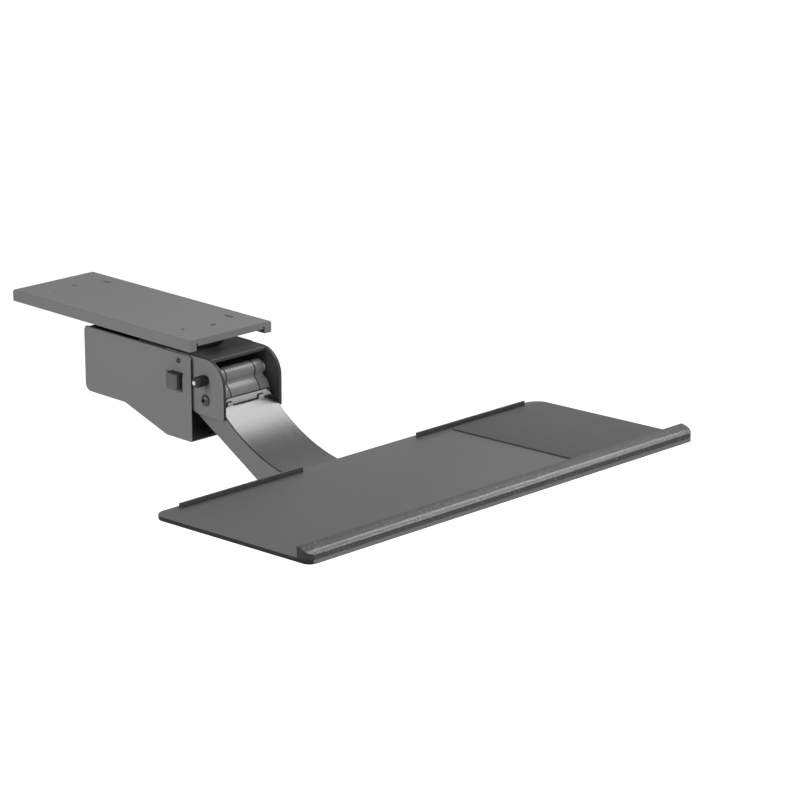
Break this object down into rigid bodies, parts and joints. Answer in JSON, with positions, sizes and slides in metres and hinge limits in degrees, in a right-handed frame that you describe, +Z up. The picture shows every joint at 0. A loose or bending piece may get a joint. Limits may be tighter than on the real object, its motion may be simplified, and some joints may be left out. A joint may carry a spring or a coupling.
{
  "type": "keyboard tray",
  "caption": "Under-desk keyboard tray on a sliding track, swivelling head and curved height-adjustable arm, with palm rest and mouse mat.",
  "frame": {"origin": "centre of the track's flat desk face", "axes": "+X to the user's right, +Y away from the user along the track, +Z up"},
  "size_m": [0.656, 0.8496, 0.1811],
  "materials": {
    "grey_steel": "fine satin powder coat",
    "black_steel": "satin black powder coat",
    "arm_steel": "satin grey paint",
    "arm_cover_paint": "satin light grey paint",
    "zinc": "zinc plated",
    "black_hardware": "black oxide",
    "spring_steel": "oiled spring steel",
    "nylon": "natural nylon",
    "black_plastic": "matte black",
    "grey_plastic": "light grey, half gloss",
    "stop_rubber": "black rubber",
    "board_laminate": "dark grey satin",
    "palm_skin": "dark grey speckled leatherette",
    "lip_plastic": "dark grey",
    "mat_face": "smooth dark grey"
  },
  "bodies": {
    "track": {"track": "grey_steel", "front_stop": "stop_rubber", "rear_stop": "stop_rubber", "stop_rivets": "zinc"},
    "carriage": {"carriage_plate": "zinc", "glide_left": "nylon", "glide_right": "nylon", "swivel_bearing": "black_plastic", "swivel_bolt": "zinc", "swivel_nut": "zinc", "swivel_stop_pin": "zinc"},
    "head": {"head_frame": "black_steel", "cheek_left": "grey_steel", "cheek_right": "grey_steel", "housing": "grey_steel", "housing_spacers": "zinc", "housing_screws": "black_hardware", "cable_clip": "grey_plastic", "clip_cap": "black_plastic", "pivot_bolt": "black_hardware", "pivot_nut": "black_hardware", "pivot_sleeve": "zinc", "spring_left": "spring_steel", "spring_right": "spring_steel", "spring_bar": "zinc", "rear_link_pin": "zinc", "pivot_cover_left": "grey_plastic", "pivot_cover_middle": "grey_plastic", "pivot_cover_right": "grey_plastic", "hinge_guard": "grey_plastic"},
    "lock": {"lock_shaft": "zinc", "lock_knob": "black_plastic", "brake_cams": "zinc", "lock_ring": "black_hardware"},
    "arm": {"arm_channel": "arm_steel", "arm_cover": "arm_cover_paint", "arm_bushes": "nylon"},
    "link": {"levelling_link": "zinc"},
    "tilt_head": {"tilt_head": "black_steel", "tip_pin": "zinc", "front_link_pin": "zinc", "tilt_bolt": "black_hardware", "tilt_nut": "black_hardware"},
    "tray": {"tray_bracket": "black_steel", "friction_washers": "nylon", "bracket_screws": "zinc", "tray_board": "board_laminate", "palm_rest": "palm_skin", "rear_lip_left": "lip_plastic", "rear_lip_right": "lip_plastic", "mouse_mat": "mat_face"}
  },
  "joints": [
    {"name": "track_slide", "type": "slide", "parent": "track", "child": "carriage", "axis": [0, 1, 0], "range_m": [0, 0.2]},
    {"name": "head_swivel", "type": "hinge", "parent": "carriage", "child": "head", "pos_m": [0, -0.1, -0.02], "axis": [0, 0, 1], "range_deg": [-90, 90]},
    {"name": "knob_turn", "type": "hinge", "parent": "head", "child": "lock", "pos_m": [0, -0.1845, -0.0535], "axis": [1, 0, 0], "range_deg": [0, 170]},
    {"name": "arm_lift", "type": "hinge", "parent": "head", "child": "arm", "pos_m": [0, -0.1845, -0.08], "axis": [-1, 0, 0], "range_deg": [-20, 30]},
    {"name": "link_swing", "type": "hinge", "parent": "head", "child": "link", "pos_m": [0, -0.1815, -0.098], "axis": [-1, 0, 0], "range_deg": [-20, 30]},
    {"name": "head_level", "type": "hinge", "parent": "arm", "child": "tilt_head", "pos_m": [0, -0.43945, -0.15118], "axis": [-1, 0, 0], "range_deg": [-30, 20]},
    {"name": "tray_tilt", "type": "hinge", "parent": "tilt_head", "child": "tray", "pos_m": [0, -0.46645, -0.14118], "axis": [1, 0, 0], "range_deg": [-10, 15]}
  ],
  "couplings": [
    {"joint": "link_swing", "follows": "arm_lift", "ratio": 1},
    {"joint": "head_level", "follows": "arm_lift", "ratio": -1}
  ]
}
